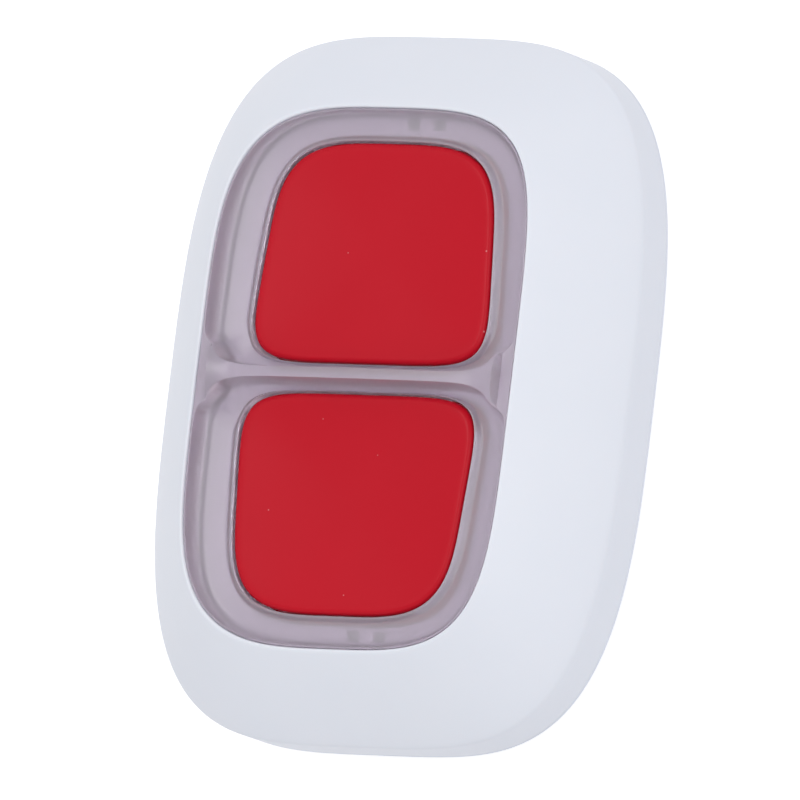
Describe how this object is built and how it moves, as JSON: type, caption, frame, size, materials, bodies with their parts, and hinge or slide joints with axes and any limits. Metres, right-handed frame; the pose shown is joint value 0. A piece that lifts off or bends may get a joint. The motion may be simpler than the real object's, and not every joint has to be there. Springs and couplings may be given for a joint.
{
  "type": "panic button",
  "caption": "Pebble-shaped white wireless panic button with two recessed red push caps, a raised divider between them in a clear frame, and a strap hole at the back.",
  "frame": {"origin": "centre of the flat back, on the surface that the device lies on", "axes": "+Z out of the face with the buttons, +Y towards the end with the strap hole, +X to the right when the face is looked at"},
  "size_m": [0.035, 0.047, 0.016],
  "materials": {
    "white_shell": "fine matt moulded",
    "clear_frame": "satin translucent light guide",
    "clear_pipe": "clear",
    "guide_plastic": "moulded",
    "silicone": "soft matt",
    "black_plastic": "moulded",
    "board": "solder resist",
    "steel": "bright",
    "led": "clear resin",
    "ceramic_chip": "ceramic",
    "cell_seal": "moulded",
    "electrode": "pressed powder",
    "gold_contact": "plated",
    "red_cap": "fine matt moulded"
  },
  "bodies": {
    "case": {"front_housing": "white_shell", "lens_frame": "clear_frame", "light_pipes": "clear_pipe", "button_guide": "guide_plastic", "sealing_mat": "silicone", "upper_bellows": "silicone", "lower_bellows": "silicone", "chassis": "black_plastic", "circuit_board": "board", "upper_switch_base": "black_plastic", "lower_switch_base": "black_plastic", "upper_switch_terminals": "steel", "lower_switch_terminals": "steel", "upper_snap_dome": "steel", "lower_snap_dome": "steel", "upper_switch_cover": "steel", "lower_switch_cover": "steel", "indicator_leds": "led", "antenna": "steel", "radio_shield": "steel", "processor": "black_plastic", "crystal": "steel", "chip_parts": "ceramic_chip", "cell_holder": "black_plastic", "cell_can": "steel", "cell_gasket": "cell_seal", "cell_filling": "electrode", "cell_cap": "steel", "positive_contacts": "gold_contact", "negative_contact": "gold_contact", "board_screws": "steel", "rear_gasket": "silicone"},
    "rear_cover": {"rear_housing": "white_shell"},
    "upper_cap": {"upper_button": "red_cap"},
    "lower_cap": {"lower_button": "red_cap"},
    "upper_actuator": {"upper_plunger": "black_plastic"},
    "lower_actuator": {"lower_plunger": "black_plastic"}
  },
  "joints": [
    {"name": "upper_press", "type": "slide", "parent": "case", "child": "upper_cap", "axis": [0, 0, -1], "range_m": [0, 0.0008], "stiffness_N_per_m": 4000, "deforming": ["upper_bellows"]},
    {"name": "upper_actuate", "type": "slide", "parent": "case", "child": "upper_actuator", "axis": [0, 0, -1], "range_m": [0, 0.0008], "deforming": ["upper_snap_dome"]},
    {"name": "lower_press", "type": "slide", "parent": "case", "child": "lower_cap", "axis": [0, 0, -1], "range_m": [0, 0.0008], "stiffness_N_per_m": 4000, "deforming": ["lower_bellows"]},
    {"name": "lower_actuate", "type": "slide", "parent": "case", "child": "lower_actuator", "axis": [0, 0, -1], "range_m": [0, 0.0008], "deforming": ["lower_snap_dome"]},
    {"name": "cover_release", "type": "slide", "parent": "case", "child": "rear_cover", "axis": [0, 0, -1], "range_m": [0, 0.012]}
  ],
  "couplings": [
    {"joint": "upper_actuate", "follows": "upper_press", "ratio": 1},
    {"joint": "lower_actuate", "follows": "lower_press", "ratio": 1}
  ]
}
